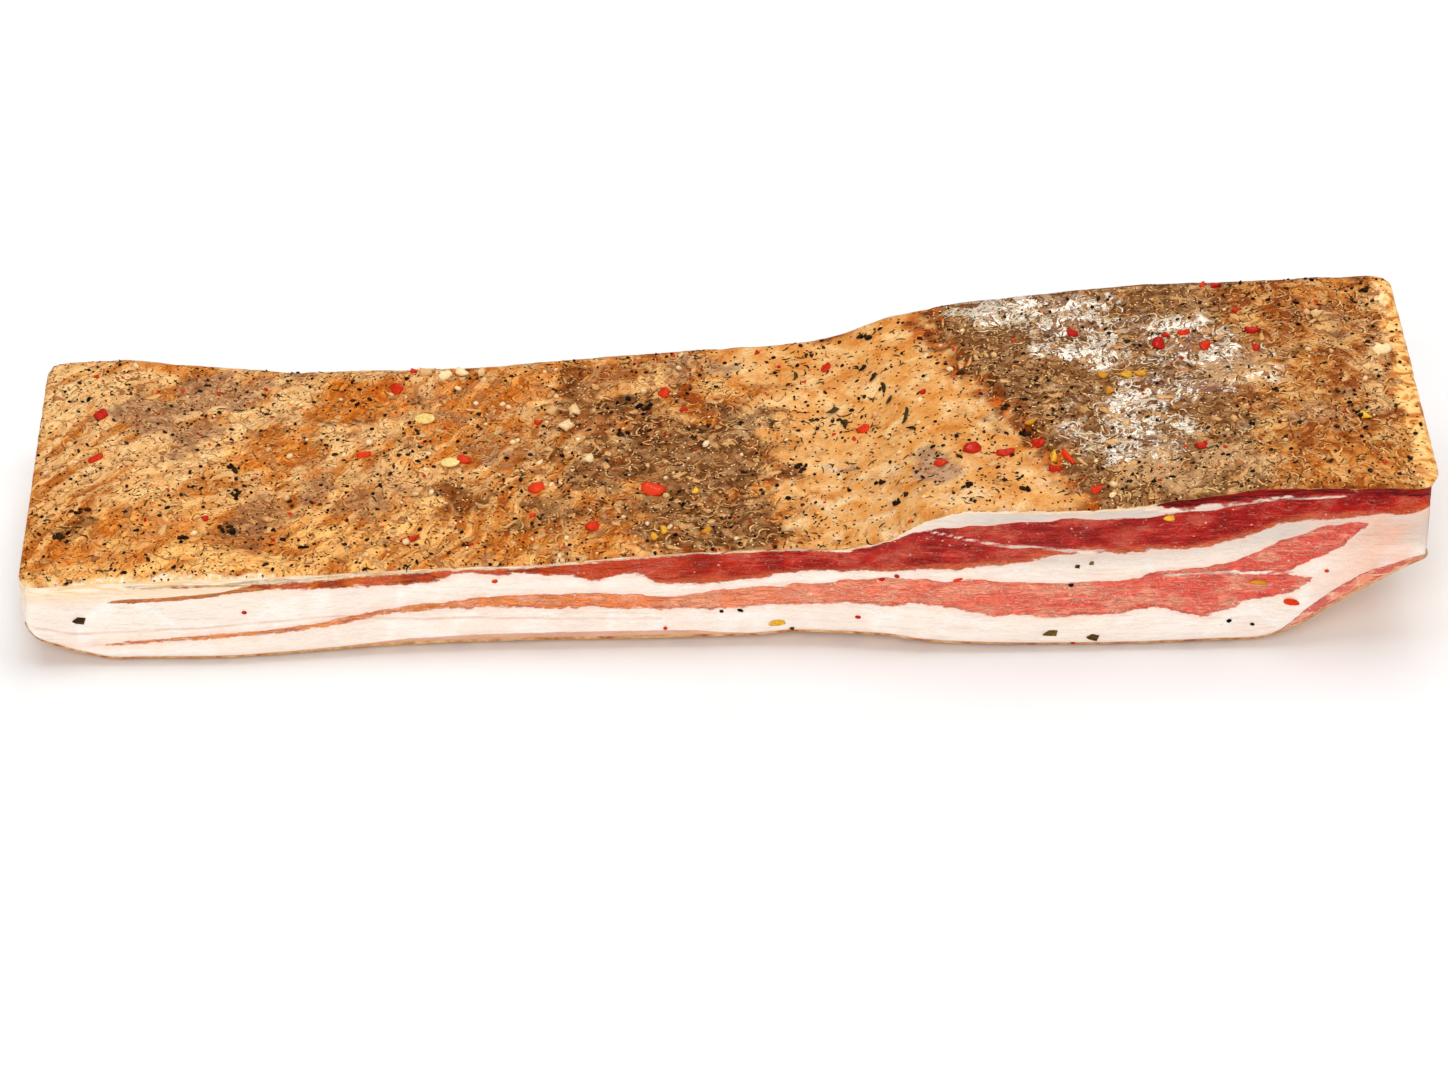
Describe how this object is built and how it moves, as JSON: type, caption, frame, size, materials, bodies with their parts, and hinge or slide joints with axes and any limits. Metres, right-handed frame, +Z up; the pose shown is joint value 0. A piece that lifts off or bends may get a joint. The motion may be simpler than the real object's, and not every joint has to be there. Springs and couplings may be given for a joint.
{
  "type": "flat pancetta slab",
  "caption": "Long strip of flat cured pork belly, rind side down, with layered cut sides of fat and lean and a rough spice-crusted top.",
  "frame": {"origin": "middle of the bounding box's base, on the surface that the slab lies on", "axes": "+X along the slab's length towards its thick end, -Y out of the cut side that shows the fat and lean layers, +Z up through the seasoned top"},
  "size_m": [0.3, 0.0852, 0.0429],
  "materials": {
    "meat": "moist cured fat and lean under a glossy seasoned crust",
    "chilli": "dried chilli flake, slightly oily",
    "seed": "dried chilli seed, satin",
    "pepper": "coarse black pepper",
    "herb": "dried herb",
    "garlic": "dried garlic granule"
  },
  "bodies": {
    "root": {"pancetta_slab": "meat"}
  },
  "joints": []
}
